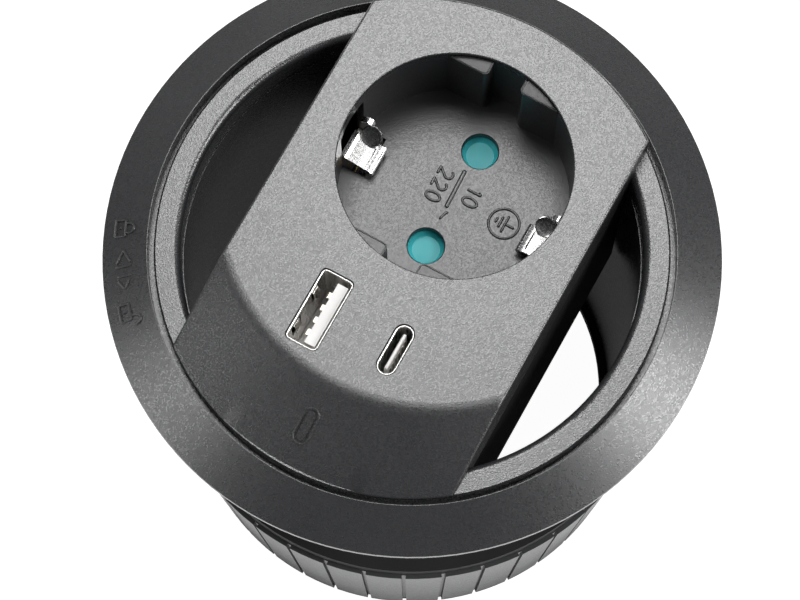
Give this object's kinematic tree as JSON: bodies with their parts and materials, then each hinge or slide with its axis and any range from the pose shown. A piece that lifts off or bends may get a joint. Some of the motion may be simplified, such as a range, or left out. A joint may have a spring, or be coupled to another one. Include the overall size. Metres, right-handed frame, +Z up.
{
  "type": "desk socket insert",
  "caption": "Round desk-hole socket insert: a flanged sleeve with a clamping nut holds a turning bridge with a shuttered plug recess and charging ports.",
  "frame": {"origin": "on the sleeve's axis at the flange's underside, where the desk's top surface lies", "axes": "+Z up along the sleeve's axis, +Y along the bridge from the charging ports to the plug recess, +X to the right of that"},
  "size_m": [0.101, 0.101, 0.0932],
  "materials": {
    "sleeve_plastic": "fine-grained satin, anthracite",
    "cover_plastic": "fine-grained satin, anthracite",
    "case_plastic": "fine-grained, black",
    "nut_plastic": "fine-grained satin, anthracite",
    "washer_rubber": "matt, black",
    "cup_plastic": "fine-grained satin, anthracite",
    "shutter_plastic": "smooth, turquoise",
    "carrier_plastic": "smooth, ivory",
    "spring_steel": "bright drawn wire",
    "screw_steel": "zinc plated",
    "contact_brass": "rolled strip",
    "clip_metal": "bright nickel plated",
    "port_shell": "bright drawn shell",
    "tongue_white": "smooth, white",
    "strip_gold": "gold plated",
    "board_green": "lacquered board, green",
    "chip_black": "moulded, black",
    "core_ferrite": "ground ferrite, dark grey",
    "winding_tape": "taped, yellow",
    "capacitor_sleeve": "shrunk sleeve, dark blue",
    "coil_wire": "enamelled copper wire",
    "fuse_case": "moulded, dark red",
    "block_plastic": "moulded, off-white",
    "gland_plastic": "moulded, black"
  },
  "bodies": {
    "sleeve": {"desk_sleeve": "sleeve_plastic"},
    "insert": {"insert_cover": "cover_plastic", "module_case": "case_plastic", "case_screws": "screw_steel", "socket_cup": "cup_plastic", "shutter_spring": "spring_steel", "contact_carrier": "carrier_plastic", "shutter_ring": "carrier_plastic", "line_contact": "contact_brass", "neutral_contact": "contact_brass", "earth_strap": "contact_brass", "usb_a_shell": "port_shell", "usb_a_tongue": "tongue_white", "usb_a_contacts": "strip_gold", "usb_c_shell": "port_shell", "usb_c_tongue": "tongue_white", "usb_c_contacts": "strip_gold", "port_board": "board_green", "charger_board": "board_green", "board_standoffs": "screw_steel", "charge_controller": "chip_black", "transformer_core": "core_ferrite", "transformer_winding": "winding_tape", "capacitors": "capacitor_sleeve", "filter_coil": "coil_wire", "board_fuse": "fuse_case", "terminal_block": "block_plastic", "terminal_screws": "screw_steel", "cable_gland": "gland_plastic"},
    "washer": {"clamp_washer": "washer_rubber"},
    "nut": {"clamp_nut": "nut_plastic"},
    "shutter": {"pin_shutter": "shutter_plastic"},
    "clip_right": {"earth_clip_right": "clip_metal"},
    "clip_left": {"earth_clip_left": "clip_metal"}
  },
  "joints": [
    {"name": "insert_twist", "type": "hinge", "parent": "sleeve", "child": "insert", "pos_m": [0, 0, 0], "axis": [0, 0, 1], "range_deg": [-66, 24]},
    {"name": "clamp_travel", "type": "slide", "parent": "sleeve", "child": "washer", "axis": [0, 0, 1], "range_m": [0, 0.036]},
    {"name": "nut_turn", "type": "hinge", "parent": "washer", "child": "nut", "pos_m": [0, 0, -0.046], "axis": [0, 0, 1], "range_deg": [0, 2160]},
    {"name": "shutter_turn", "type": "hinge", "parent": "insert", "child": "shutter", "pos_m": [0, 0.0143, -0.01275], "axis": [0, 0, 1], "range_deg": [0, 45], "stiffness_Nm_per_rad": 0.002, "springref_deg": -11.46},
    {"name": "clip_flex_right", "type": "hinge", "parent": "insert", "child": "clip_right", "pos_m": [0.01695, 0.0143, -0.012], "axis": [0, 1, 0], "range_deg": [0, 3], "stiffness_Nm_per_rad": 0.1, "springref_deg": -0.57},
    {"name": "clip_flex_left", "type": "hinge", "parent": "insert", "child": "clip_left", "pos_m": [-0.01695, 0.0143, -0.012], "axis": [0, -1, 0], "range_deg": [0, 3], "stiffness_Nm_per_rad": 0.1, "springref_deg": -0.57}
  ],
  "couplings": [
    {"joint": "clamp_travel", "follows": "nut_turn", "m_per_rad": 0.00095492}
  ]
}
